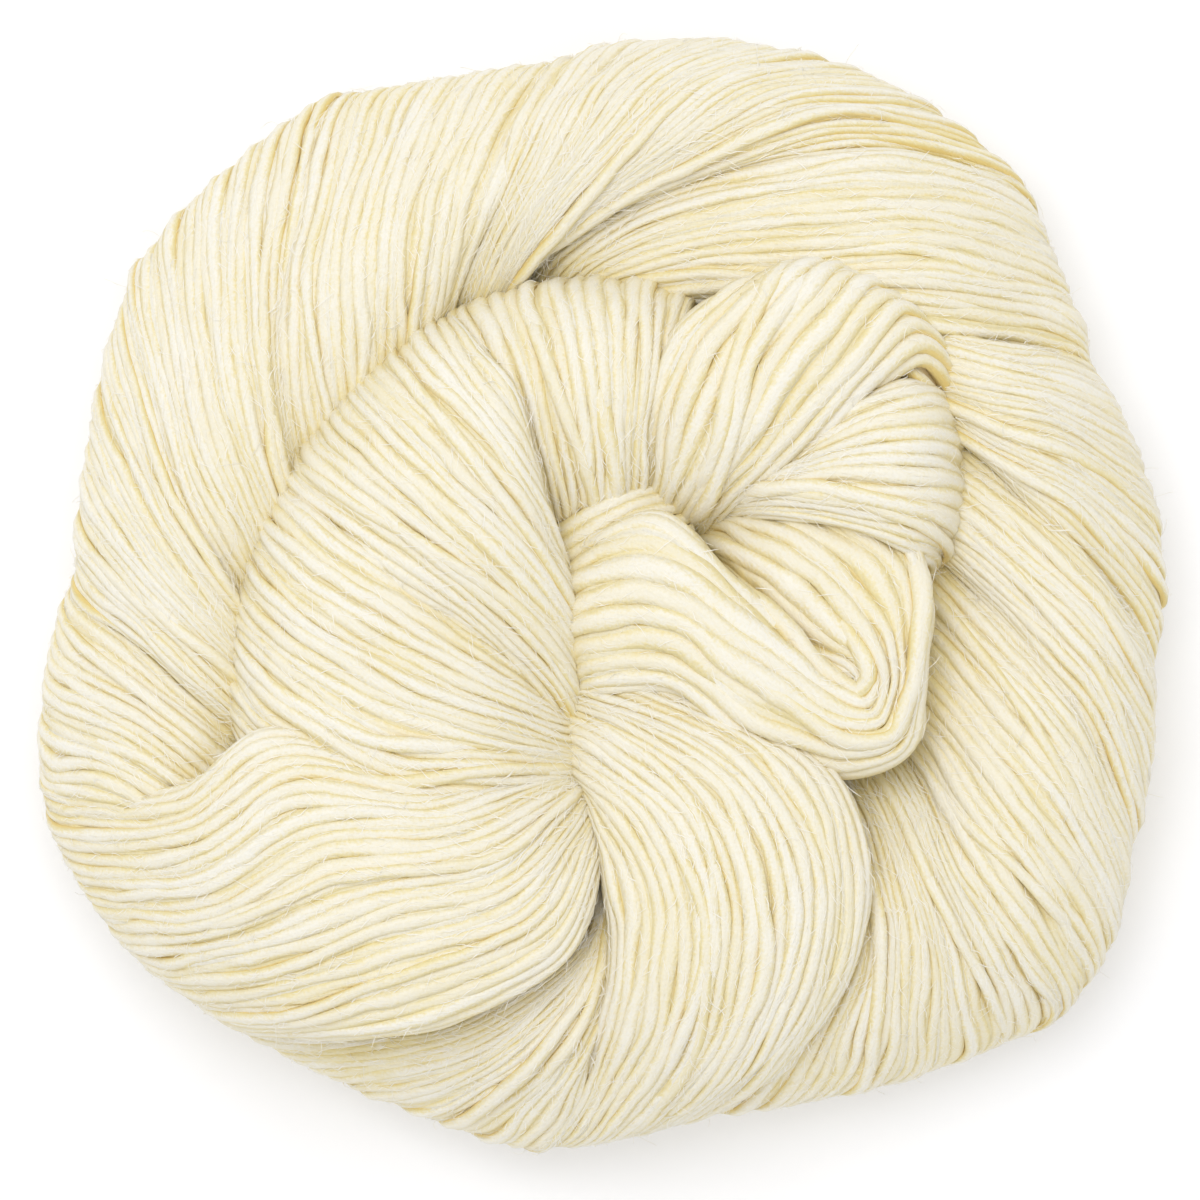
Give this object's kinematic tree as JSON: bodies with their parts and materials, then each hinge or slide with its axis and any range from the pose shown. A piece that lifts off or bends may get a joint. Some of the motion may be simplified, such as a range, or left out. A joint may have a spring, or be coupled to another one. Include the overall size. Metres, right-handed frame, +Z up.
{
  "type": "wool yarn hank",
  "caption": "Cream wool yarn hank, its skein twisted into a soft two-part rope and coiled flat into a round with a raised inner turn.",
  "frame": {"origin": "centre of the bounding box on the resting face", "axes": "+Z up out of the coil, +X to the right and +Y to the top of the coil as seen from above"},
  "size_m": [0.1602, 0.1588, 0.0491],
  "materials": {
    "wool": "matte, soft undyed wool with a fuzzy surface"
  },
  "bodies": {
    "root": {"hank": "wool"}
  },
  "joints": []
}
